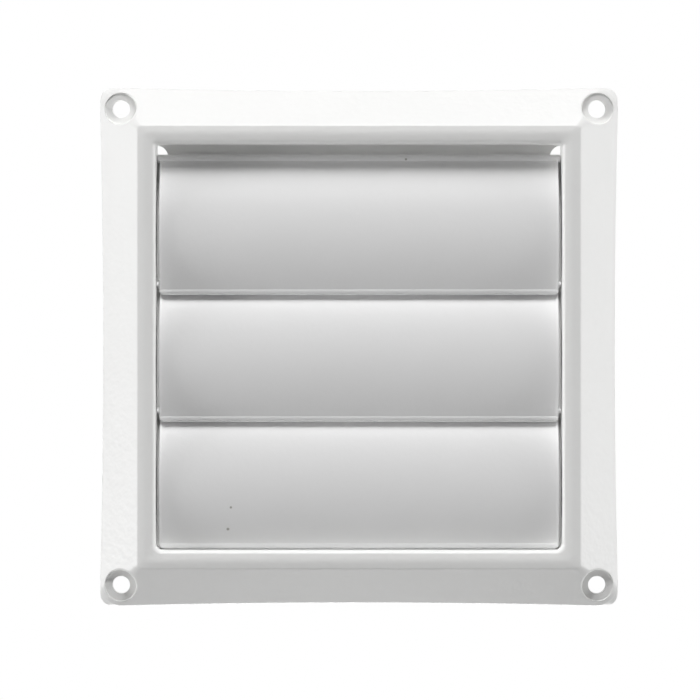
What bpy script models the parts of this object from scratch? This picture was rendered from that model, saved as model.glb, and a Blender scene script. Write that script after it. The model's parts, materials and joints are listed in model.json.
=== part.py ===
"""Louvred wall vent for a 100 mm duct: a moulded housing and three gravity louvres.

The front looks along -Y, +Z is up and +X is to the right of someone who faces the vent. The origin lies
on the wall face, between the duct collar and the sill. The pieces are drawn round the vent's centre, on
an empty that lifts them to their height. Depths are measured forward from the wall face.
"""
from math import atan2, cos, pi, radians, sin, sqrt, tan

import bmesh
import bpy
from mathutils import Matrix, Vector

MM = 0.001

# Duct collar behind the back plate, on which the vent's other sizes are built
COLLAR_DIAMETER = 99.0 * MM
COLLAR_LENGTH = 28.0 * MM
COLLAR_WALL = 2.0 * MM
COLLAR_CHAMFER = 0.6 * MM

# The origin lies this far below the collar
ORIGIN_DROP = 5.25 * MM

# Flange and sloped skirt
SKIRT_WIDTH = 11.5 * MM
EDGE_BOW = 0.9 * MM
CORNER_RADIUS = 3.4 * MM
CORNER_HEIGHT = 1.3 * MM
RIM_HEIGHT = 2.6 * MM
WALL = 2.0 * MM

# Raised front ring
RING_WIDTH = 5.3 * MM
RING_HEIGHT = 12.6 * MM
RING_CORNER_RADIUS = 1.4 * MM
RING_CROWN = 0.25 * MM
CREASE_ROUND = 1.4 * MM
INNER_ROUND = 1.5 * MM

# Square tunnel behind the ring
OPENING_MARGIN = 9.9 * MM
OPENING_TOP_RADIUS = 0.7 * MM
OPENING_BOTTOM_RADIUS = 1.8 * MM
PLATE = 2.0 * MM

# Rib on the sill that stops the lowest louvre
STOP_THICKNESS = 1.5 * MM
STOP_LAP = 1.2 * MM
STOP_GAP = 0.35 * MM
STOP_END_GAP = 0.6 * MM

# Screw holes in the corners
SCREW_EDGE_DISTANCE = 6.2 * MM
SCREW_HOLE = 5.2 * MM
SCREW_RECESS = 9.2 * MM
SCREW_SEAT = 3.2 * MM
BOSS_WALL = 1.5 * MM

# Hinge lines
TOP_PIVOT_DROP = 4.0 * MM
PIVOT_DEPTH = 3.8 * MM
BARREL_RADIUS = 1.2 * MM
SHOULDER_GAP = 0.3 * MM
PIN_RADIUS = 0.9 * MM
PIN_CLEARANCE = 0.3 * MM
PIN_SETBACK = 0.3 * MM
WINDOW_RADIUS = 3.6 * MM

# Louvre blades
LOUVRE_PLACES = ("top", "middle", "bottom")
LOUVRE_SIDE_GAP = 0.9 * MM
LOUVRE_LAP = 2.9 * MM
SILL_CLEARANCE = 0.3 * MM
BLADE_THICKNESS = 1.2 * MM
BLADE_TOP_TILT = radians(32.7)
TIP_FORWARD = 2.85 * MM
LIP_HEIGHT = 1.3 * MM
TIP_CORNER_RADIUS = 1.2 * MM
SIDE_ROUND = 0.7 * MM
CHEEK = 1.2 * MM

# Fineness of the round forms
CORNER_STEPS = 5
SIDE_STEPS = 8
FILLET_STEPS = 4
ARC_STEPS = 14
EDGE_STEPS = 4
WINDOW_STEPS = 8
SMALL_CIRCLE = 24
COLLAR_CIRCLE = 72

# Sizes that follow from the ones above
COLLAR_RADIUS = COLLAR_DIAMETER / 2
OPEN = COLLAR_RADIUS + OPENING_MARGIN
RING = OPEN + RING_WIDTH
HALF = RING + SKIRT_WIDTH
SKIRT_ANGLE = atan2(RING_HEIGHT - RIM_HEIGHT, SKIRT_WIDTH)
SCREW_POSITION = HALF - SCREW_EDGE_DISTANCE
SCREW_POSITIONS = [(x * SCREW_POSITION, z * SCREW_POSITION) for x in (-1, 1) for z in (-1, 1)]
LOUVRE_PITCH = (2 * OPEN - TOP_PIVOT_DROP - LOUVRE_LAP - SILL_CLEARANCE) / len(LOUVRE_PLACES)
BLADE_DROP = LOUVRE_PITCH + LOUVRE_LAP
PIVOT_HEIGHTS = [OPEN - TOP_PIVOT_DROP - index * LOUVRE_PITCH for index in range(len(LOUVRE_PLACES))]
BLADE_HALF = OPEN - LOUVRE_SIDE_GAP
CENTRE_HEIGHT = COLLAR_RADIUS + ORIGIN_DROP
CUT_PAST = 1.0 * MM


def remove_everything():
    for item in list(bpy.data.objects):
        bpy.data.objects.remove(item, do_unlink=True)


def plastic(name, colour, roughness):
    """Matt moulded plastic."""
    material = bpy.data.materials.new(name)
    material.use_nodes = True
    shader = material.node_tree.nodes["Principled BSDF"]
    shader.inputs["Base Color"].default_value = (*colour, 1.0)
    shader.inputs["Roughness"].default_value = roughness
    shader.inputs["Metallic"].default_value = 0.0
    material.diffuse_color = (*colour, 1.0)
    return material


def new_object(name, bm, material=None):
    """A smooth-shaded object from a bmesh, with its faces pointing out."""
    bmesh.ops.recalc_face_normals(bm, faces=bm.faces)
    mesh = bpy.data.meshes.new(name)
    bm.to_mesh(mesh)
    bm.free()
    mesh.shade_smooth()
    mesh.set_sharp_from_angle(angle=radians(30))
    if material:
        mesh.materials.append(material)
    thing = bpy.data.objects.new(name, mesh)
    bpy.context.scene.collection.objects.link(thing)
    return thing


def combine(target, tool, operation):
    """Cut from or join to the target through an exact Boolean modifier."""
    tool.hide_render = True
    tool.display_type = "WIRE"
    modifier = target.modifiers.new(f"{operation.lower()} {tool.name}", "BOOLEAN")
    modifier.operation = operation
    modifier.solver = "EXACT"
    modifier.object = tool


def joined(name, tools):
    """Separate tool shapes as one object, so that one Boolean applies them all."""
    bm = bmesh.new()
    for tool in tools:
        bm.from_mesh(tool.data)
        bpy.data.objects.remove(tool, do_unlink=True)
    return new_object(name, bm)


def skin(bm, rings, closed=False):
    """Faces between neighbouring rings, with the ends capped unless the rings close on themselves."""
    pairs = list(zip(rings, rings[1:]))
    if closed:
        pairs.append((rings[-1], rings[0]))
    for lower, upper in pairs:
        for i in range(len(lower)):
            j = (i + 1) % len(lower)
            bm.faces.new((lower[i], lower[j], upper[j], upper[i]))
    if not closed:
        bm.faces.new(rings[0])
        bm.faces.new(rings[-1])


def turned(name, profile, segments, axis):
    """A solid turned about an axis, from (position, radius) steps along it."""
    turn = {"X": Matrix.Rotation(pi / 2, 3, "Y"), "-Y": Matrix.Rotation(pi / 2, 3, "X")}[axis]
    bm = bmesh.new()
    rings = []
    for position, radius in profile:
        ring = []
        for step in range(segments):
            angle = 2 * pi * step / segments
            ring.append(bm.verts.new(turn @ Vector((radius * cos(angle), radius * sin(angle), position))))
        rings.append(ring)
    skin(bm, rings)
    return new_object(name, bm)


def moved(thing, x, y, z):
    """Shift a tool's mesh, so that tools can be joined without their transforms."""
    thing.data.transform(Matrix.Translation((x, y, z)))
    return thing


def block(name, x_range, depth_range, z_range):
    bm = bmesh.new()
    corners = [(x, -depth, z) for z in z_range for x, depth in
               ((x_range[0], depth_range[0]), (x_range[1], depth_range[0]),
                (x_range[1], depth_range[1]), (x_range[0], depth_range[1]))]
    points = [bm.verts.new(corner) for corner in corners]
    skin(bm, [points[:4], points[4:]])
    return new_object(name, bm)


def square_loop(top, bottom, bow, top_radius, bottom_radius):
    """Points round a square, seen from the front, with round corners and sides that bow inward."""
    corners = ((1, 1, top_radius), (-1, 1, top_radius), (-1, -1, bottom_radius), (1, -1, bottom_radius))
    arcs = []
    for index, (side_x, side_z, radius) in enumerate(corners):
        reach = top if side_z > 0 else bottom
        centre = Vector((side_x * (top - radius), side_z * (reach - radius)))
        arc = []
        for step in range(CORNER_STEPS + 1):
            angle = (index + step / CORNER_STEPS) * pi / 2
            arc.append(centre + Vector((cos(angle), sin(angle))) * radius)
        arcs.append(arc)
    points = []
    for index, arc in enumerate(arcs):
        points += arc
        start = arc[-1]
        end = arcs[(index + 1) % 4][0]
        outward = (index + 1) * pi / 2
        inward = Vector((-cos(outward), -sin(outward)))
        for step in range(1, SIDE_STEPS):
            share = step / SIDE_STEPS
            sag = bow * (1 - (2 * share - 1) ** 2)
            points.append(start.lerp(end, share) + inward * sag)
    return points


def loft(name, sections, material=None, closed=False):
    """A solid skinned over (depth, points) sections."""
    bm = bmesh.new()
    rings = [[bm.verts.new((p.x, -depth, p.y)) for p in points] for depth, points in sections]
    skin(bm, rings, closed)
    return new_object(name, bm, material)


def front_sections():
    """Sections of the housing's skin, from the rim's foot over the ring and down to the back plate."""
    rim = square_loop(HALF, HALF, EDGE_BOW, CORNER_RADIUS, CORNER_RADIUS)
    sections = [(0.0, rim), (CORNER_HEIGHT, rim)]

    # Above the rim's foot each corner is round about its screw
    sections.append((RIM_HEIGHT, square_loop(HALF, HALF, EDGE_BOW, SCREW_EDGE_DISTANCE, SCREW_EDGE_DISTANCE)))

    # The crease is an arc that touches both the slope and the ring's face
    face_start = RING - CREASE_ROUND * tan(SKIRT_ANGLE / 2)
    for step in range(FILLET_STEPS + 1):
        angle = SKIRT_ANGLE * (1 - step / FILLET_STEPS)
        half = face_start + CREASE_ROUND * sin(angle)
        depth = RING_HEIGHT - CREASE_ROUND * (1 - cos(angle))
        sections.append((depth, square_loop(half, half, 0.0, RING_CORNER_RADIUS, RING_CORNER_RADIUS)))
    middle = (face_start + OPEN + INNER_ROUND) / 2
    crown = square_loop(middle, middle, 0.0, RING_CORNER_RADIUS, RING_CORNER_RADIUS)
    sections.append((RING_HEIGHT + RING_CROWN, crown))

    # The inner edge rolls over into the tunnel
    for step in range(FILLET_STEPS + 1):
        angle = pi / 2 * step / FILLET_STEPS
        grow = INNER_ROUND * (1 - sin(angle))
        depth = RING_HEIGHT - INNER_ROUND * (1 - cos(angle))
        sections.append((depth, square_loop(OPEN + grow, OPEN + grow, 0.0, OPENING_TOP_RADIUS + grow,
                                            OPENING_BOTTOM_RADIUS + grow)))
    back = square_loop(OPEN, OPEN, 0.0, OPENING_TOP_RADIUS, OPENING_BOTTOM_RADIUS)
    sections.append((PLATE, back))
    return sections


def build_channel():
    """The hollow under the skirt, open at the back, with the screw bosses left standing in it."""
    slope = tan(SKIRT_ANGLE)
    back_of_slope = WALL / cos(SKIRT_ANGLE)
    outer = HALF - WALL
    outer_depth = RIM_HEIGHT + WALL * slope - back_of_slope
    roof_depth = RING_HEIGHT - WALL
    roof = outer - (roof_depth - outer_depth) / slope
    inner = OPEN + WALL
    radius = CORNER_RADIUS - WALL
    inner_radius = OPENING_BOTTOM_RADIUS + WALL
    foot = square_loop(outer, outer, EDGE_BOW, radius, radius)
    tunnel = square_loop(inner, inner, 0.0, inner_radius, inner_radius)
    channel = loft("channel_cutter", [
        (-CUT_PAST, foot),
        (outer_depth, foot),
        (roof_depth, square_loop(roof, roof, 0.0, radius, radius)),
        (roof_depth, tunnel),
        (-CUT_PAST, tunnel),
    ], closed=True)
    boss = [(-2 * CUT_PAST, SCREW_RECESS / 2 + BOSS_WALL), (RING_HEIGHT, SCREW_RECESS / 2 + BOSS_WALL)]
    bosses = [moved(turned("boss", boss, SMALL_CIRCLE, "-Y"), x, 0.0, z) for x, z in SCREW_POSITIONS]
    combine(channel, joined("screw_bosses", bosses), "DIFFERENCE")
    return channel


def build_stop():
    """Rib behind the lowest blade's lip, which keeps it from swinging inward."""
    front = PIVOT_DEPTH + TIP_FORWARD - STOP_GAP
    half = OPEN - OPENING_BOTTOM_RADIUS - STOP_END_GAP
    top = PIVOT_HEIGHTS[-1] - BLADE_DROP + STOP_LAP
    return block("sill_stop", (-half, half), (front - STOP_THICKNESS, front), (-OPEN - WALL / 2, top))


def pin_holes():
    """Round holes through the tunnel's side walls, one at each end of each hinge line."""
    reach = WALL / 2 + CUT_PAST
    radius = PIN_RADIUS + PIN_CLEARANCE
    holes = []
    for height in PIVOT_HEIGHTS:
        for side in (-1, 1):
            hole = turned("pin_hole", [(-reach, radius), (reach, radius)], SMALL_CIRCLE, "X")
            holes.append(moved(hole, side * (OPEN + WALL / 2), -PIVOT_DEPTH, height))
    return holes


def corner_windows():
    """Quarter-round windows in the back plate, above the ends of the top hinge line."""
    windows = []
    for side in (-1, 1):
        outline = [Vector((side * OPEN, PIVOT_HEIGHTS[0]))]
        for step in range(WINDOW_STEPS + 1):
            angle = pi / 2 * (1 + step / WINDOW_STEPS)
            outline.append(Vector((side * (OPEN + WINDOW_RADIUS * cos(angle)),
                                   PIVOT_HEIGHTS[0] + WINDOW_RADIUS * sin(angle))))
        windows.append(loft("corner_window", [(-CUT_PAST, outline), (PLATE + CUT_PAST / 4, outline)]))
    return windows


def screw_bores(name, diameter, depth_from, depth_to):
    profile = [(depth_from, diameter / 2), (depth_to, diameter / 2)]
    return joined(name, [moved(turned("bore", profile, SMALL_CIRCLE, "-Y"), x, 0.0, z)
                         for x, z in SCREW_POSITIONS])


def build_housing(material):
    """Flange, skirt, ring, tunnel, back plate, sill stop and duct collar as one moulding."""
    housing = loft("housing", front_sections(), material)
    collar = turned("duct_collar", [
        (PLATE / 2, COLLAR_RADIUS),
        (COLLAR_CHAMFER - COLLAR_LENGTH, COLLAR_RADIUS),
        (-COLLAR_LENGTH, COLLAR_RADIUS - COLLAR_CHAMFER),
    ], COLLAR_CIRCLE, "-Y")
    bore = turned("duct_bore", [
        (-COLLAR_LENGTH - CUT_PAST, COLLAR_RADIUS - COLLAR_WALL),
        (PLATE + CUT_PAST, COLLAR_RADIUS - COLLAR_WALL),
    ], COLLAR_CIRCLE, "-Y")
    combine(housing, collar, "UNION")
    combine(housing, build_channel(), "DIFFERENCE")
    combine(housing, build_stop(), "UNION")
    combine(housing, bore, "DIFFERENCE")
    combine(housing, joined("pin_holes_and_windows", pin_holes() + corner_windows()), "DIFFERENCE")
    combine(housing, screw_bores("screw_holes", SCREW_HOLE, -CUT_PAST, SCREW_SEAT + CUT_PAST), "DIFFERENCE")
    combine(housing, screw_bores("screw_recesses", SCREW_RECESS, SCREW_SEAT, RING_HEIGHT), "DIFFERENCE")
    return housing


def blade_front(inset=0.0):
    """Front of the blade's section as (forward, height) points on an arc, from the barrel to the lip."""
    start = Vector((cos(BLADE_TOP_TILT), sin(BLADE_TOP_TILT))) * BLADE_THICKNESS / 2
    end = Vector((TIP_FORWARD + BLADE_THICKNESS, LIP_HEIGHT - BLADE_DROP))
    chord = end - start
    half_turn = BLADE_TOP_TILT - atan2(chord.x, -chord.y)
    radius = chord.length / 2 / sin(half_turn)
    centre = start - Vector((cos(BLADE_TOP_TILT), sin(BLADE_TOP_TILT))) * radius
    points = []
    for step in range(ARC_STEPS + 1):
        angle = BLADE_TOP_TILT - 2 * half_turn * step / ARC_STEPS
        points.append(centre + Vector((cos(angle), sin(angle))) * (radius - inset))
    return points


def across(name, sections, material=None):
    """A solid skinned over (x, points) sections that hold (forward, height) points."""
    bm = bmesh.new()
    skin(bm, [[bm.verts.new((x, -p.x, p.y)) for p in points] for x, points in sections])
    return new_object(name, bm, material)


def quarter_fall(distance, radius):
    """How far a quarter-round edge has fallen at a distance into it."""
    inside = min(max(distance, 0.0), radius)
    return radius - sqrt(radius ** 2 - inside ** 2)


def blade_sections():
    """The blade filled back to its chord, with round side edges and round lower corners."""
    corner = min(TIP_CORNER_RADIUS, LIP_HEIGHT)
    reaches = [BLADE_HALF - corner * (1 - sin(pi / 2 * step / EDGE_STEPS)) for step in range(EDGE_STEPS + 1)]
    sections = []
    for x in [-reach for reach in reversed(reaches)] + reaches:
        inset = quarter_fall(abs(x) - BLADE_HALF + SIDE_ROUND, SIDE_ROUND)
        low = quarter_fall(abs(x) - BLADE_HALF + corner, corner) - BLADE_DROP
        front = blade_front(inset)
        lip = [Vector((front[-1].x, low)), Vector((TIP_FORWARD, low))]
        sections.append((x, front + lip + [-blade_front()[0]]))
    return sections


def build_pocket():
    """The hollow behind a blade, between its end cheeks and above its lip."""
    low = LIP_HEIGHT - BLADE_DROP
    inner = [p for p in blade_front(BLADE_THICKNESS) if low < p.y < -2 * BARREL_RADIUS]
    outline = inner + [Vector((inner[-1].x, low)), Vector((-PIVOT_DEPTH, low)),
                       Vector((-PIVOT_DEPTH, inner[0].y))]
    half = BLADE_HALF - CHEEK
    return across("louvre_pocket", [(-half, outline), (half, outline)])


def build_hinge_rod():
    """Barrel along a blade's top edge, with a shoulder and a pin at each end."""
    shoulder = OPEN - SHOULDER_GAP
    pin_end = OPEN + WALL - PIN_SETBACK
    return turned("hinge_rod", [
        (-pin_end, PIN_RADIUS), (-shoulder, PIN_RADIUS), (-shoulder, BARREL_RADIUS),
        (shoulder, BARREL_RADIUS), (shoulder, PIN_RADIUS), (pin_end, PIN_RADIUS),
    ], SMALL_CIRCLE, "X")


def build_louvres(material):
    """Three like blades, each with its origin on its own hinge line."""
    louvres = []
    for place, height in zip(LOUVRE_PLACES, PIVOT_HEIGHTS):
        louvre = across(f"louvre_{place}", blade_sections(), material)
        pocket = build_pocket()
        rod = build_hinge_rod()
        combine(louvre, pocket, "DIFFERENCE")
        combine(louvre, rod, "UNION")
        for thing in (louvre, pocket, rod):
            thing.location = (0.0, -PIVOT_DEPTH, height)
        louvres.append(louvre)
    return louvres


def main():
    remove_everything()
    build_housing(plastic("white_housing_plastic", (0.86, 0.86, 0.85), 0.45))
    build_louvres(plastic("white_louvre_plastic", (0.84, 0.84, 0.84), 0.4))

    # Everything hangs on the vent's centre
    centre = bpy.data.objects.new("vent_centre", None)
    centre.location = (0.0, 0.0, CENTRE_HEIGHT)
    for thing in list(bpy.data.objects):
        if thing is not centre:
            thing.parent = centre
    bpy.context.scene.collection.objects.link(centre)


main()
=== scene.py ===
"""Looks of the louvred wall vent: the housing moulding, its three louvres, and a white studio."""
import json
from math import atan2, cos, pi, radians, sin, tan

import bmesh
import bpy
from bpy.props import FloatProperty, FloatVectorProperty, IntProperty, PointerProperty
from mathutils import Matrix, Vector


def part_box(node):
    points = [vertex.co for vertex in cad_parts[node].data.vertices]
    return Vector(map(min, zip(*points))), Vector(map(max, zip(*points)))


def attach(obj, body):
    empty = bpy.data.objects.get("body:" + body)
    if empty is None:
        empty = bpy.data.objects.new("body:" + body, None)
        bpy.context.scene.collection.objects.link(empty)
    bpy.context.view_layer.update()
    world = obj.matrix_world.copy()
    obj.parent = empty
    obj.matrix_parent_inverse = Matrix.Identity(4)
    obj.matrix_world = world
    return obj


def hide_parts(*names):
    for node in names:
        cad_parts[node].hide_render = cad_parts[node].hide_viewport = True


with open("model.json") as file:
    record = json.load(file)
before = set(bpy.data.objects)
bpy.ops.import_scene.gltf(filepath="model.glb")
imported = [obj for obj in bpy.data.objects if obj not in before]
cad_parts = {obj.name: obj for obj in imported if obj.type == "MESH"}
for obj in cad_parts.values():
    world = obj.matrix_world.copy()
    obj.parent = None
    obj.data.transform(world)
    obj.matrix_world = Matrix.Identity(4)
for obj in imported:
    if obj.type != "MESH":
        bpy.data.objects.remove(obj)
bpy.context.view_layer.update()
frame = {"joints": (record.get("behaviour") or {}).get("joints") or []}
HOUSING_LOW, HOUSING_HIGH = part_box("housing")

bl_info = {
    "name": "Louvred wall vent",
    "version": (1, 0, 0),
    "blender": (4, 5, 0),
    "location": "3D View > Sidebar > Vent",
    "description": "Models and finishes a moulded wall vent with three gravity louvres",
    "category": "Add Mesh",
}

MM = 0.001
WHITE = (1.0, 1.0, 1.0, 1.0)
LOUVRES = ("louvre_top", "louvre_middle", "louvre_bottom")
HINGES = {joint["child"]: Vector(joint["pos_m"]) for joint in frame["joints"]}
HALF_WIDTH = (HOUSING_HIGH.x - HOUSING_LOW.x) / 2
CENTRE = Vector((0.0, 0.0, (HOUSING_LOW.z + HOUSING_HIGH.z) / 2))

# Screw bosses, pin holes and the rib on the sill that stops the lowest louvre
BOSS_WALL = 1.5 * MM
PIN_CLEARANCE = 0.3 * MM
STOP_THICKNESS = 1.5 * MM
STOP_GAP = 0.35 * MM
STOP_LAP = 1.2 * MM
STOP_END_GAP = 0.6 * MM

# How far cutting tools reach past what they cut
CUT_PAST = 1.0 * MM

# How near a vertex must be to count as on a shape, and to be welded to another
NEAR = 0.01 * MM
WELD = 0.001 * MM

# Along a blade's bottom the rim's inner edge runs at a share of the lip's height, and rises at the ends
RIM_SHARE = 0.86
RIM_SHARE_RISE = 0.1

# Fineness of the round forms
COLLAR_STEPS = 144
SCREW_STEPS = 48
ROD_STEPS = 32
PIN_HOLE_STEPS = 24
CORNER_STEPS = 8
SIDE_CUTS = 23
EDGE_STEPS = 4
CREASE_STEPS = 6
INNER_STEPS = 7

# Fineness of the patterns in the plastic, per metre
CLOUD_SCALE = 60.0
WAVE_SCALE = 520.0
GRAIN_SCALE = 1400.0

# Specks of dust on the vent: centre and radius in metres
SPECK_COLOUR = (0.42, 0.41, 0.38, 1.0)
SPECKS = (
    (Vector((-0.0384, -0.0092, 0.0014)), 0.00055),
    (Vector((-0.0375, -0.0105, 0.0078)), 0.00045),
    (Vector((0.0138, -0.005, 0.1099)), 0.00045),
)

# Lamps: name, degrees off the front axis, clock position, width, height and distance in metres, watts
LAMPS = (
    ("over the front", 63, 0, 0.12, 1.3, 2.4, 47.0),
    ("overhead", 87, 0, 0.6, 0.6, 2.5, 4.5),
    ("left", 80, 9, 0.6, 0.6, 2.5, 28.0),
    ("right", 84, 3, 0.6, 0.6, 2.5, 23.0),
    ("low behind", 130, 6, 0.5, 0.5, 1.0, 6.5),
)

# The floor, and how far it lies below the vent, in metres
FLOOR_RADIUS = 4.0
FLOOR_DROP = 1.1


def length(name, description, millimetres):
    return FloatProperty(name=name, description=description, default=millimetres * MM, min=0.0,
                         subtype="DISTANCE", unit="LENGTH", precision=5)


class HousingSizes(bpy.types.PropertyGroup):
    """Sizes of the housing moulding."""
    opening: length("Half opening", "Half the width of the square tunnel", 59.4)
    ring_width: length("Ring width", "Width of the raised ring", 5.3)
    ring_height: length("Ring height", "How far the ring stands off the wall", 12.6)
    ring_crown: length("Ring crown", "Rise of the ring's face towards its middle", 0.25)
    rim_height: length("Rim height", "Height of the flange's upright edge", 2.6)
    rim_round: length("Rim rounding", "Rounding between the upright edge and the slope", 0.45)
    edge_bow: length("Edge bow", "How far the flange's sides bow inward", 0.9)
    corner: length("Flange corner", "Radius of the flange's corners", 3.4)
    corner_height: length("Corner height", "Height at which the corners begin to round off", 1.3)
    ring_corner: length("Ring corner", "Radius of the ring's outer corners", 1.4)
    crease: length("Crease rounding", "Rounding between the slope and the ring", 1.4)
    inner_round: length("Inner rounding", "Rounding of the ring's inner edge", 1.5)
    top_corner: length("Tunnel top corner", "Radius of the tunnel's upper corners", 0.7)
    low_corner: length("Tunnel low corner", "Radius of the tunnel's lower corners", 1.8)
    wall: length("Wall", "Thickness of the skirt, tunnel, plate and collar", 2.0)
    screw_inset: length("Screw inset", "Distance of the screw holes from the flange's edges", 6.2)
    screw_hole: length("Screw hole", "Radius of the screw holes", 2.6)
    screw_recess: length("Screw recess", "Radius of the recesses for the screw heads", 4.6)
    screw_seat: length("Screw seat", "Height of the recesses' floor off the wall", 3.2)
    screw_lip: length("Recess lip", "Rounding of the recesses' upper edge", 0.65)
    collar: length("Collar radius", "Outer radius of the duct collar", 49.5)
    collar_length: length("Collar length", "How far the collar reaches behind the wall face", 28.0)
    window_width: length("Window width", "Width of the quarter-round windows in the upper corners", 3.3)
    window_height: length("Window height", "Height of the windows above the hinge line", 3.9)


class LouvreSizes(bpy.types.PropertyGroup):
    """Sizes of a louvre."""
    half_width: length("Half width", "Half the blade's width", 58.5)
    drop: length("Drop", "Height of the blade below its hinge line", 40.1)
    thickness: length("Thickness", "Thickness of the blade", 1.2)
    tip_forward: length("Tip forward", "How far the lip's back stands ahead of the hinge line", 2.85)
    lip: length("Lip", "Height of the bottom lip", 1.3)
    tip_corner: length("Tip corner", "Radius of the blade's lower corners", 1.2)
    rim: length("Rim", "Width of the flared rim round the blade's front", 0.85)
    rim_rise: length("Rim rise", "How far the rim flares forward of the blade's face", 0.2)
    edge_round: length("Edge rounding", "Rounding of the rim's edge", 0.1)
    cheek: length("Cheek", "Thickness of the end cheeks", 1.2)
    barrel: length("Barrel radius", "Radius of the hinge barrel", 1.2)
    pin: length("Pin radius", "Radius of the hinge pins", 0.9)
    shoulder: length("Shoulder", "Distance of the barrel's ends from the middle", 59.1)
    pin_reach: length("Pin reach", "Distance of the pins' ends from the middle", 61.1)
    tilt: FloatProperty(name="Top tilt", description="Upward tilt of the blade's face at its top",
                        default=radians(32.7), subtype="ANGLE", unit="ROTATION")
    steps: IntProperty(name="Arc steps", description="Fineness of the blade's bow", default=36, min=4)


class Finish(bpy.types.PropertyGroup):
    """Colours and surface of the plastic."""
    housing_colour: FloatVectorProperty(
        name="Housing colour", description="White of the housing", default=(0.92, 0.92, 0.91),
        min=0.0, max=1.0, size=3, subtype="COLOR")
    louvre_colour: FloatVectorProperty(
        name="Louvre colour", description="White of the louvres", default=(0.905, 0.905, 0.905),
        min=0.0, max=1.0, size=3, subtype="COLOR")
    roughness: FloatProperty(
        name="Roughness", description="Roughness of the moulded surface", default=0.42,
        min=0.0, max=1.0, subtype="FACTOR")
    peel: length("Surface waves", "Height of the housing's shallow surface waves", 0.1)


class Studio(bpy.types.PropertyGroup):
    """Camera and light."""
    distance: length("Camera distance", "Distance of the camera from the wall face", 1300.0)
    lens: FloatProperty(
        name="Lens", description="Focal length of the camera, in millimetres", default=226.6)
    right: FloatProperty(
        name="Picture right", description="How far right of the middle the vent sits, in picture widths",
        default=9 / 700)
    up: FloatProperty(
        name="Picture up", description="How far above the middle the vent sits, in picture widths",
        default=3 / 700)
    back_light: FloatProperty(
        name="Back light", description="Strength of the soft light from behind", default=0.3)


def finished(name, bm, material, body, replaced):
    """Turn a bmesh into a smooth piece that rides on a body in place of a CAD node."""
    mesh = bpy.data.meshes.new(name)
    bm.to_mesh(mesh)
    bm.free()
    mesh.shade_smooth()
    mesh.set_sharp_from_angle(angle=radians(35))
    mesh.materials.clear()
    mesh.materials.append(material)
    piece = bpy.data.objects.new(name, mesh)
    bpy.context.scene.collection.objects.link(piece)
    normals = piece.modifiers.new("even shading", "WEIGHTED_NORMAL")
    normals.keep_sharp = True
    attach(piece, body)
    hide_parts(replaced)


def tool(name, bm):
    """A closed shape that is only used to cut or to join."""
    bmesh.ops.recalc_face_normals(bm, faces=bm.faces)
    mesh = bpy.data.meshes.new(name)
    bm.to_mesh(mesh)
    bm.free()
    thing = bpy.data.objects.new(name, mesh)
    bpy.context.scene.collection.objects.link(thing)
    return thing


def combined(base, *changes):
    """The base shape after its (operation, tool) changes, as a bmesh. The objects are removed."""
    for operation, thing in changes:
        modifier = base.modifiers.new(thing.name, "BOOLEAN")
        modifier.operation = operation
        modifier.solver = "EXACT"
        modifier.object = thing
    bpy.context.view_layer.update()
    shape = base.evaluated_get(bpy.context.evaluated_depsgraph_get())
    bm = bmesh.new()
    bm.from_mesh(shape.to_mesh())
    shape.to_mesh_clear()
    for thing in [base] + [change[1] for change in changes]:
        bpy.data.objects.remove(thing, do_unlink=True)
    bmesh.ops.remove_doubles(bm, verts=bm.verts, dist=2 * WELD)
    return bm


def round_edges(bm, chosen, radius, segments=3):
    edges = [edge for edge in bm.edges if len(edge.link_faces) == 2 and chosen(edge)]
    bmesh.ops.bevel(bm, geom=edges, offset=radius, offset_type="OFFSET", segments=segments, profile=0.5,
                    affect="EDGES", clamp_overlap=False, material=-1, loop_slide=True)


def square_ring(half, depth, corner, bow=0.0, low_corner=None):
    """A mesh of one closed loop of edges round a square with round corners, facing the front."""
    low_corner = corner if low_corner is None else low_corner
    bm = bmesh.new()
    corners = bmesh.ops.create_grid(bm, x_segments=1, y_segments=1, size=half)["verts"]
    upper = [v for v in corners if v.co.y > 0]
    lower = [v for v in corners if v.co.y < 0]
    for group, radius in ((upper, corner), (lower, low_corner)):
        bmesh.ops.bevel(bm, geom=group, offset=radius, offset_type="OFFSET", segments=CORNER_STEPS,
                        profile=0.5, affect="VERTICES", clamp_overlap=False, material=-1)
    sides = [edge for edge in bm.edges if edge.calc_length() > half]
    bmesh.ops.subdivide_edges(bm, edges=sides, cuts=SIDE_CUTS)
    bmesh.ops.delete(bm, geom=list(bm.faces), context="FACES_ONLY")
    for vert in bm.verts if bow else ():
        x, y = vert.co.x, vert.co.y
        if abs(y) < half - corner:
            vert.co.x -= (1 if x > 0 else -1) * bow * (1 - (y / (half - corner)) ** 2)
        elif abs(x) < half - corner:
            vert.co.y -= (1 if y > 0 else -1) * bow * (1 - (x / (half - corner)) ** 2)
    upright = Matrix.Translation((0, -depth, 0)) @ Matrix.Rotation(pi / 2, 4, "X")
    bmesh.ops.transform(bm, verts=bm.verts, matrix=upright)
    mesh = bpy.data.meshes.new("ring")
    bm.to_mesh(mesh)
    bm.free()
    return mesh


def skinned(rings, closed=False):
    """A closed shape bridged through rings, each pair on its own and then welded."""
    bm = bmesh.new()
    pairs = list(zip(rings, rings[1:]))
    if closed:
        pairs.append((rings[-1], rings[0]))
    spans = []
    for pair in pairs:
        loops = []
        for ring in pair:
            count = len(bm.edges)
            bm.from_mesh(ring)
            bm.edges.ensure_lookup_table()
            loops.append(list(bm.edges)[count:])
        bmesh.ops.bridge_loops(bm, edges=loops[0] + loops[1])
        spans.append(loops)
    if not closed:
        for end in (spans[0][0], spans[-1][1]):
            bmesh.ops.edgeloop_fill(bm, edges=end)
    bmesh.ops.remove_doubles(bm, verts=bm.verts, dist=WELD)
    for ring in rings:
        bpy.data.meshes.remove(ring)
    return bm


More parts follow.
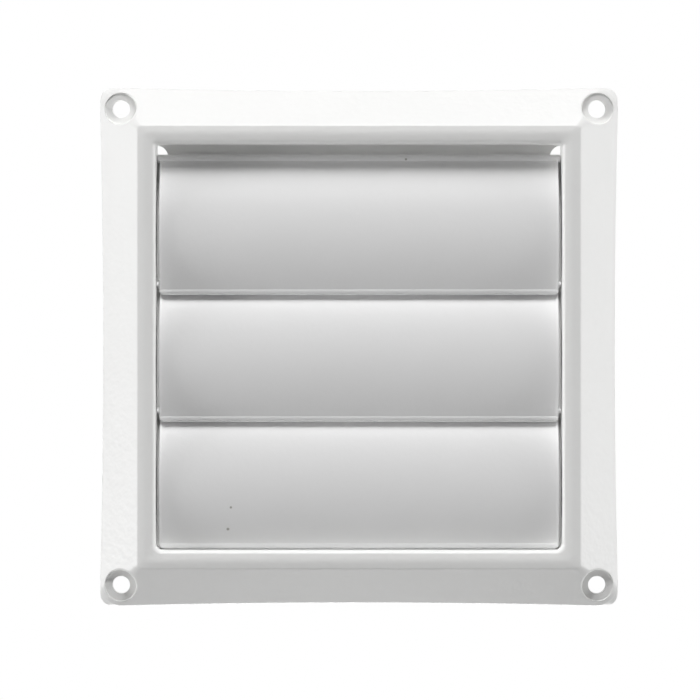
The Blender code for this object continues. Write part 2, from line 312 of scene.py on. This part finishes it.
def cylinder(name, radius, start, end, places, segments=SCREW_STEPS, axis="Y"):
    """Round tools along an axis from start to end, one at each place."""
    turn = Matrix.Rotation(pi / 2, 4, "X" if axis == "Y" else "Y")
    middle = (start + end) / 2
    along = Vector((0, middle, 0)) if axis == "Y" else Vector((middle, 0, 0))
    bm = bmesh.new()
    for place in places:
        matrix = Matrix.Translation(Vector(place) + along) @ turn
        bmesh.ops.create_cone(bm, cap_ends=True, segments=segments, radius1=radius, radius2=radius,
                              depth=abs(end - start), matrix=matrix)
    return tool(name, bm)


def slope_angle(s):
    return atan2(s.ring_height - s.rim_height, HALF_WIDTH - s.opening - s.ring_width)


def front_rings():
    """Loops of the housing's skin, from the rim's foot over the ring and into the tunnel."""
    s = bpy.context.scene.vent_housing
    slope = slope_angle(s)
    ring = s.opening + s.ring_width
    rings = [square_ring(HALF_WIDTH, depth, s.corner, s.edge_bow) for depth in (0.0, s.corner_height)]

    # The upright edge rolls over into the slope, and the corners are round about the screws
    turn = pi / 2 - slope
    tangent = s.rim_round * tan(turn / 2)
    for step in range(EDGE_STEPS + 1):
        angle = turn * step / EDGE_STEPS
        half = HALF_WIDTH - s.rim_round * (1 - cos(angle))
        depth = s.rim_height - tangent + s.rim_round * sin(angle)
        rings.append(square_ring(half, depth, s.screw_inset - (HALF_WIDTH - half), s.edge_bow))

    # The crease between the slope and the ring's face
    face_start = ring - s.crease * tan(slope / 2)
    for step in range(CREASE_STEPS + 1):
        angle = slope * (1 - step / CREASE_STEPS)
        half = face_start + s.crease * sin(angle)
        rings.append(square_ring(half, s.ring_height - s.crease * (1 - cos(angle)), s.ring_corner))

    # The ring's face is slightly crowned
    for share in (0.25, 0.5, 0.75):
        half = face_start + (s.opening + s.inner_round - face_start) * share
        rise = s.ring_crown * (1 - (2 * share - 1) ** 2)
        rings.append(square_ring(half, s.ring_height + rise, s.ring_corner))

    # The inner edge rolls over into the tunnel
    for step in range(INNER_STEPS + 1):
        angle = pi / 2 * step / INNER_STEPS
        grow = s.inner_round * (1 - sin(angle))
        depth = s.ring_height - s.inner_round * (1 - cos(angle))
        rings.append(square_ring(s.opening + grow, depth, s.top_corner + grow,
                                 low_corner=s.low_corner + grow))
    rings.append(square_ring(s.opening, s.wall, s.top_corner, low_corner=s.low_corner))
    return rings


def channel_rings():
    """Loops of the hollow under the skirt, open at the back."""
    s = bpy.context.scene.vent_housing
    slope = slope_angle(s)
    outer = HALF_WIDTH - s.wall
    outer_depth = s.rim_height + s.wall * tan(slope) - s.wall / cos(slope)
    roof_depth = s.ring_height - s.wall
    roof = outer - (roof_depth - outer_depth) / tan(slope)
    inner = s.opening + s.wall
    corner = s.corner - s.wall
    inner_corner = s.low_corner + s.wall
    return [
        square_ring(outer, -CUT_PAST, corner, s.edge_bow),
        square_ring(outer, outer_depth, corner, s.edge_bow),
        square_ring(roof, roof_depth, corner),
        square_ring(inner, roof_depth, inner_corner),
        square_ring(inner, -CUT_PAST, inner_corner),
    ]


def box_tool(name, low, high):
    bm = bmesh.new()
    low, high = Vector(low), Vector(high)
    matrix = Matrix.Translation((low + high) / 2) @ Matrix.Diagonal((*(high - low), 1.0))
    bmesh.ops.create_cube(bm, size=1.0, matrix=matrix)
    return tool(name, bm)


class VENT_OT_housing(bpy.types.Operator):
    """Model the housing: flange, skirt, ring, tunnel, back plate and duct collar"""
    bl_idname = "vent.housing"
    bl_label = "Housing"

    def execute(self, context):
        s = context.scene.vent_housing
        blade = context.scene.vent_louvre
        hinge = HINGES["louvre_top"]
        hinge_height = hinge.z - CENTRE.z

        spot = HALF_WIDTH - s.screw_inset
        screws = [(x * spot, 0.0, z * spot) for x in (-1, 1) for z in (-1, 1)]
        channel = tool("channel", skinned(channel_rings(), closed=True))
        bosses = cylinder("bosses", s.screw_recess + BOSS_WALL, 2 * CUT_PAST, -s.ring_height, screws)
        channel = tool("channel", combined(channel, ("DIFFERENCE", bosses)))

        stop_front = -hinge.y + blade.tip_forward - STOP_GAP
        stop_top = HINGES["louvre_bottom"].z - CENTRE.z - blade.drop + STOP_LAP
        stop_half = s.opening - s.low_corner - STOP_END_GAP
        stop = box_tool("stop", (-stop_half, -stop_front, -s.opening - s.wall / 2),
                        (stop_half, STOP_THICKNESS - stop_front, stop_top))

        # The windows are circles stretched upright, of which one quarter lies in each upper corner
        stretch = s.window_height / s.window_width
        spots = [(side * s.opening, 0.0, hinge_height / stretch) for side in (-1, 1)]
        windows = cylinder("windows", s.window_width, CUT_PAST, -s.wall - CUT_PAST / 4, spots)
        windows.data.transform(Matrix.Diagonal((1.0, 1.0, stretch, 1.0)))
        inside = box_tool("inside", (-s.opening, -2 * s.wall, hinge_height),
                          (s.opening, 2 * CUT_PAST, s.opening))
        windows = tool("windows", combined(windows, ("INTERSECT", inside)))

        middle = [(0, 0, 0)]
        collar = cylinder("collar", s.collar, -s.wall / 2, s.collar_length, middle, COLLAR_STEPS)
        bore = cylinder("bore", s.collar - s.wall, -s.wall - CUT_PAST, s.collar_length + CUT_PAST, middle,
                        COLLAR_STEPS)
        sides = [(side * (s.opening + s.wall / 2), hinge.y, HINGES[name].z - CENTRE.z)
                 for name in LOUVRES for side in (-1, 1)]
        pin_holes = cylinder("pin holes", blade.pin + PIN_CLEARANCE, -2 * CUT_PAST, 2 * CUT_PAST, sides,
                             PIN_HOLE_STEPS, "X")
        screw_holes = cylinder("screw holes", s.screw_hole, CUT_PAST, -s.screw_seat - CUT_PAST, screws)
        recesses = cylinder("recesses", s.screw_recess, -s.screw_seat, -s.ring_height, screws)
        bm = combined(
            tool("skin", skinned(front_rings())),
            ("UNION", collar),
            ("DIFFERENCE", channel),
            ("UNION", stop),
            ("DIFFERENCE", bore),
            ("DIFFERENCE", windows),
            ("DIFFERENCE", pin_holes),
            ("DIFFERENCE", screw_holes),
            ("DIFFERENCE", recesses),
        )

        def on_recess(vert):
            return any(abs((vert.co - Vector(screw)).xz.length - s.screw_recess) < 2 * NEAR
                       for screw in screws)

        def on_lip(edge):
            """Whether an edge is part of a screw recess's upper edge."""
            return edge.calc_face_angle() > radians(25) and all(
                vert.co.y < -s.screw_seat - 10 * NEAR and on_recess(vert) for vert in edge.verts)

        round_edges(bm, on_lip, s.screw_lip)
        bmesh.ops.translate(bm, verts=bm.verts, vec=CENTRE)
        finish = context.scene.vent_finish
        material = moulded("satin housing plastic", finish.housing_colour, finish.peel)
        finished("housing_moulding", bm, material, "housing", "housing")
        return {"FINISHED"}


def blade_arc(s):
    """Centre, radius and half turn of the blade's front arc, as (forward, height) from the hinge."""
    normal = Vector((cos(s.tilt), sin(s.tilt)))
    start = normal * s.thickness / 2
    end = Vector((s.tip_forward + s.thickness, s.lip - s.drop))
    chord = end - start
    half_turn = s.tilt - atan2(chord.x, -chord.y)
    radius = chord.length / 2 / sin(half_turn)
    return start, start - normal * radius, radius, half_turn


def blade_section(bm, s, inset, closing):
    """A face across the blade, spun along its arc and closed through (forward, height) corners."""
    start, centre, radius, half_turn = blade_arc(s)
    first = start - Vector((cos(s.tilt), sin(s.tilt))) * inset
    vert = bmesh.ops.create_vert(bm, co=(0.0, -first.x, first.y))["vert"][0]
    made = bmesh.ops.spin(bm, geom=[vert], cent=(0.0, -centre.x, centre.y), axis=(1, 0, 0),
                          angle=2 * half_turn, steps=s.steps)
    last = next(item for item in made["geom_last"] if isinstance(item, bmesh.types.BMVert))
    for forward, height in closing:
        grown = bmesh.ops.extrude_vert_indiv(bm, verts=[last])["verts"][0]
        grown.co = Vector((0.0, -forward, height))
        last = grown
    bmesh.ops.contextual_create(bm, geom=[last, vert])
    return bmesh.ops.edgeloop_fill(bm, edges=bm.edges)["faces"]


def drawn_out(bm, faces, half):
    """Extrude a section sideways into a solid that reaches half to each side."""
    bmesh.ops.translate(bm, verts=bm.verts, vec=(-half, 0, 0))
    grown = bmesh.ops.extrude_face_region(bm, geom=faces, use_keep_orig=True)["geom"]
    bmesh.ops.translate(bm, verts=[item for item in grown if isinstance(item, bmesh.types.BMVert)],
                        vec=(2 * half, 0, 0))


def blade_shape(s):
    """One louvre round its own hinge line."""
    start, centre, radius, half_turn = blade_arc(s)
    lip_front = s.tip_forward + s.thickness
    bm = bmesh.new()
    closing = [(lip_front, -s.drop), (s.tip_forward, -s.drop), (-start.x, -start.y)]
    drawn_out(bm, blade_section(bm, s, 0.0, closing), s.half_width)
    bmesh.ops.recalc_face_normals(bm, faces=bm.faces)

    def low_corner(edge):
        return all(abs(vert.co.x) > s.half_width - NEAR and vert.co.z < NEAR - s.drop
                   for vert in edge.verts)

    def on_front(vert):
        off_arc = (Vector((-vert.co.y, vert.co.z)) - centre).length - radius
        return abs(off_arc) < NEAR or abs(-vert.co.y - lip_front) < NEAR

    def rim_edge(edge):
        return (edge.calc_face_angle() > radians(40) and all(on_front(vert) for vert in edge.verts)
                and any(vert.co.z < start.y - NEAR for vert in edge.verts))

    round_edges(bm, low_corner, s.tip_corner, 6)
    front = [face for face in bm.faces if all(on_front(vert) for vert in face.verts)]
    outer = set(bm.verts)
    bmesh.ops.inset_region(bm, faces=front, thickness=s.rim, depth=-s.rim_rise, use_boundary=True,
                           use_even_offset=True)

    # Along the bottom the rim is as high as the lip
    for vert in bm.verts:
        above = vert.co.z + s.drop
        if vert not in outer and above < s.tip_corner:
            share = (above - s.rim) / (s.tip_corner - s.rim)
            vert.co.z = s.lip * (RIM_SHARE + RIM_SHARE_RISE * share) - s.drop
    round_edges(bm, rim_edge, s.edge_round)

    # The back is hollow between the end cheeks
    pocket = bmesh.new()
    low_angle = s.tilt - 2 * half_turn
    inner_end = centre + Vector((cos(low_angle), sin(low_angle))) * (radius - s.thickness)
    behind = -4 * CUT_PAST
    closing = [(inner_end.x, s.lip - s.drop), (behind, s.lip - s.drop), (behind, -2 * s.barrel)]
    drawn_out(pocket, blade_section(pocket, s, s.thickness, closing), s.half_width - s.cheek)
    rod = cylinder("barrel", s.barrel, -s.shoulder, s.shoulder, [(0, 0, 0)], ROD_STEPS, "X")
    pins = cylinder("pins", s.pin, -s.pin_reach, s.pin_reach, [(0, 0, 0)], ROD_STEPS, "X")
    return combined(tool("blade", bm), ("DIFFERENCE", tool("pocket", pocket)), ("UNION", rod),
                    ("UNION", pins))


class VENT_OT_louvres(bpy.types.Operator):
    """Model the three louvres, each on its own hinge line"""
    bl_idname = "vent.louvres"
    bl_label = "Louvres"

    def execute(self, context):
        finish = context.scene.vent_finish
        material = moulded("satin louvre plastic", finish.louvre_colour, finish.peel / 4)
        for name in LOUVRES:
            bm = blade_shape(context.scene.vent_louvre)
            bmesh.ops.translate(bm, verts=bm.verts, vec=HINGES[name])
            finished(f"{name}_blade", bm, material, name, name)
        return {"FINISHED"}


def speckle(nodes, links, place):
    """How much of a speck there is at each place, from 0 to 1."""
    total = None
    for centre, radius in SPECKS:
        away = nodes.new("ShaderNodeVectorMath")
        away.operation = "DISTANCE"
        away.inputs[1].default_value = centre
        links.new(place.outputs["Object"], away.inputs[0])
        near = nodes.new("ShaderNodeMapRange")
        near.inputs["From Min"].default_value = radius
        near.inputs["From Max"].default_value = 0.4 * radius
        links.new(away.outputs["Value"], near.inputs["Value"])
        if total is None:
            total = near.outputs["Result"]
            continue
        both = nodes.new("ShaderNodeMath")
        both.operation = "MAXIMUM"
        links.new(total, both.inputs[0])
        links.new(near.outputs["Result"], both.inputs[1])
        total = both.outputs["Value"]
    return total


def moulded(name, colour, peel):
    """Satin moulded plastic with a fine grain, shallow waves of a given height, and specks."""
    material = bpy.data.materials.new(name)
    material.use_nodes = True
    nodes, links = material.node_tree.nodes, material.node_tree.links
    shader = nodes["Principled BSDF"]
    place = nodes.new("ShaderNodeTexCoord")
    cloud = nodes.new("ShaderNodeTexNoise")
    cloud.inputs["Scale"].default_value = CLOUD_SCALE
    cloud.inputs["Detail"].default_value = 4.0
    links.new(place.outputs["Object"], cloud.inputs["Vector"])
    tint = nodes.new("ShaderNodeMix")
    tint.data_type = "RGBA"
    tint.inputs["A"].default_value = (*[c * 0.985 for c in colour], 1.0)
    tint.inputs["B"].default_value = (*[min(1.0, c * 1.015) for c in colour], 1.0)
    links.new(cloud.outputs["Fac"], tint.inputs["Factor"])
    dusty = nodes.new("ShaderNodeMix")
    dusty.data_type = "RGBA"
    dusty.inputs["B"].default_value = SPECK_COLOUR
    links.new(speckle(nodes, links, place), dusty.inputs["Factor"])
    links.new(tint.outputs["Result"], dusty.inputs["A"])
    links.new(dusty.outputs["Result"], shader.inputs["Base Color"])
    grain = nodes.new("ShaderNodeTexNoise")
    grain.inputs["Scale"].default_value = GRAIN_SCALE
    grain.inputs["Detail"].default_value = 3.0
    links.new(place.outputs["Object"], grain.inputs["Vector"])
    rough = nodes.new("ShaderNodeMapRange")
    roughness = bpy.context.scene.vent_finish.roughness
    rough.inputs["To Min"].default_value = roughness - 0.05
    rough.inputs["To Max"].default_value = roughness + 0.05
    links.new(grain.outputs["Fac"], rough.inputs["Value"])
    links.new(rough.outputs["Result"], shader.inputs["Roughness"])
    waves = nodes.new("ShaderNodeTexNoise")
    waves.inputs["Scale"].default_value = WAVE_SCALE
    waves.inputs["Detail"].default_value = 1.0
    links.new(place.outputs["Object"], waves.inputs["Vector"])
    broad = nodes.new("ShaderNodeBump")
    broad.inputs["Distance"].default_value = peel
    links.new(waves.outputs["Fac"], broad.inputs["Height"])
    bump = nodes.new("ShaderNodeBump")
    bump.inputs["Strength"].default_value = 0.12
    bump.inputs["Distance"].default_value = 0.1 * MM
    links.new(grain.outputs["Fac"], bump.inputs["Height"])
    links.new(broad.outputs["Normal"], bump.inputs["Normal"])
    links.new(bump.outputs["Normal"], shader.inputs["Normal"])
    material.diffuse_color = (*colour, 1.0)
    return material


def lamp(name, off_axis, clock, width, height, distance, power):
    """A soft box that faces the vent, turned off its front axis towards a clock position."""
    tilt, round_axis = radians(off_axis), radians(clock * 30)
    out = Vector((sin(tilt) * sin(round_axis), -cos(tilt), sin(tilt) * cos(round_axis)))
    data = bpy.data.lights.new(name, "AREA")
    data.shape = "RECTANGLE"
    data.size = width
    data.size_y = height
    data.energy = power
    thing = bpy.data.objects.new(name, data)
    thing.location = CENTRE + out * distance
    thing.rotation_euler = (-out).to_track_quat("-Z", "Y").to_euler()
    bpy.context.scene.collection.objects.link(thing)


def background_rays(nodes, links):
    """1 for the rays that show the background: the camera's, and those of gloss and of glass."""
    seen = nodes.new("ShaderNodeLightPath")
    total = seen.outputs["Is Camera Ray"]
    for kind in ("Is Glossy Ray", "Is Transmission Ray"):
        both = nodes.new("ShaderNodeMath")
        both.operation = "MAXIMUM"
        links.new(total, both.inputs[0])
        links.new(seen.outputs[kind], both.inputs[1])
        total = both.outputs["Value"]
    return total


def white_world():
    """White to the camera, and soft light from behind the vent on everything else."""
    world = bpy.data.worlds.new("white studio")
    world.use_nodes = True
    nodes, links = world.node_tree.nodes, world.node_tree.links
    direction = nodes.new("ShaderNodeTexCoord")
    behind = nodes.new("ShaderNodeVectorMath")
    behind.operation = "DOT_PRODUCT"
    behind.inputs[1].default_value = (0.0, 1.0, 0.0)
    links.new(direction.outputs["Generated"], behind.inputs[0])
    backward = nodes.new("ShaderNodeMath")
    backward.operation = "MAXIMUM"
    backward.inputs[1].default_value = 0.0
    links.new(behind.outputs["Value"], backward.inputs[0])
    lobe = nodes.new("ShaderNodeMath")
    lobe.operation = "POWER"
    lobe.inputs[1].default_value = 4.0
    links.new(backward.outputs["Value"], lobe.inputs[0])
    level = nodes.new("ShaderNodeMath")
    level.operation = "MULTIPLY"
    level.inputs[1].default_value = bpy.context.scene.vent_studio.back_light
    links.new(lobe.outputs["Value"], level.inputs[0])
    white = nodes.new("ShaderNodeMix")
    white.data_type = "FLOAT"
    white.inputs["B"].default_value = 1.0
    links.new(background_rays(nodes, links), white.inputs["Factor"])
    links.new(level.outputs["Value"], white.inputs["A"])
    links.new(white.outputs["Result"], nodes["Background"].inputs["Strength"])
    nodes["Background"].inputs["Color"].default_value = WHITE
    bpy.context.scene.world = world


def pale_floor():
    """A round white floor well under the vent that throws light up and shows as background."""
    bm = bmesh.new()
    bmesh.ops.create_circle(bm, cap_ends=True, segments=96, radius=FLOOR_RADIUS,
                            matrix=Matrix.Translation((0.0, 0.0, HOUSING_LOW.z - FLOOR_DROP)))
    mesh = bpy.data.meshes.new("floor")
    bm.to_mesh(mesh)
    bm.free()
    material = bpy.data.materials.new("pale floor")
    material.use_nodes = True
    nodes, links = material.node_tree.nodes, material.node_tree.links
    shader = nodes["Principled BSDF"]
    shader.inputs["Base Color"].default_value = (0.8, 0.8, 0.8, 1.0)
    shader.inputs["Roughness"].default_value = 0.9
    shader.inputs["Emission Color"].default_value = WHITE
    links.new(background_rays(nodes, links), shader.inputs["Emission Strength"])
    mesh.materials.append(material)
    floor = bpy.data.objects.new("floor", mesh)
    bpy.context.scene.collection.objects.link(floor)


class VENT_OT_stage(bpy.types.Operator):
    """Set up the camera, the lamps, the pale floor and the white background"""
    bl_idname = "vent.stage"
    bl_label = "Studio"

    def execute(self, context):
        scene = context.scene
        s = scene.vent_studio
        for settings in LAMPS:
            lamp(*settings)
        white_world()
        pale_floor()
        camera = bpy.data.cameras.new("camera")
        camera.lens = s.lens
        camera.shift_x = -s.right
        camera.shift_y = -s.up
        thing = bpy.data.objects.new("camera", camera)
        thing.location = CENTRE + Vector((0, -s.distance, 0))
        thing.rotation_euler = (pi / 2, 0, 0)
        scene.collection.objects.link(thing)
        scene.camera = thing
        scene.view_settings.view_transform = "Standard"
        return {"FINISHED"}


class VENT_PT_panel(bpy.types.Panel):
    """Steps that build the vent"""
    bl_idname = "VENT_PT_panel"
    bl_label = "Louvred vent"
    bl_space_type = "VIEW_3D"
    bl_region_type = "UI"
    bl_category = "Vent"

    def draw(self, context):
        for step in (VENT_OT_stage, VENT_OT_housing, VENT_OT_louvres):
            self.layout.operator(step.bl_idname)


CLASSES = (HousingSizes, LouvreSizes, Finish, Studio, VENT_OT_stage, VENT_OT_housing, VENT_OT_louvres,
           VENT_PT_panel)
SETTINGS = {"vent_housing": HousingSizes, "vent_louvre": LouvreSizes, "vent_finish": Finish,
            "vent_studio": Studio}


def register():
    for item in CLASSES:
        bpy.utils.register_class(item)
    for name, group in SETTINGS.items():
        setattr(bpy.types.Scene, name, PointerProperty(type=group))


def unregister():
    for name in SETTINGS:
        delattr(bpy.types.Scene, name)
    for item in reversed(CLASSES):
        bpy.utils.unregister_class(item)


def main():
    register()
    bpy.ops.vent.stage()
    bpy.ops.vent.housing()
    bpy.ops.vent.louvres()


if __name__ == "__main__":
    main()
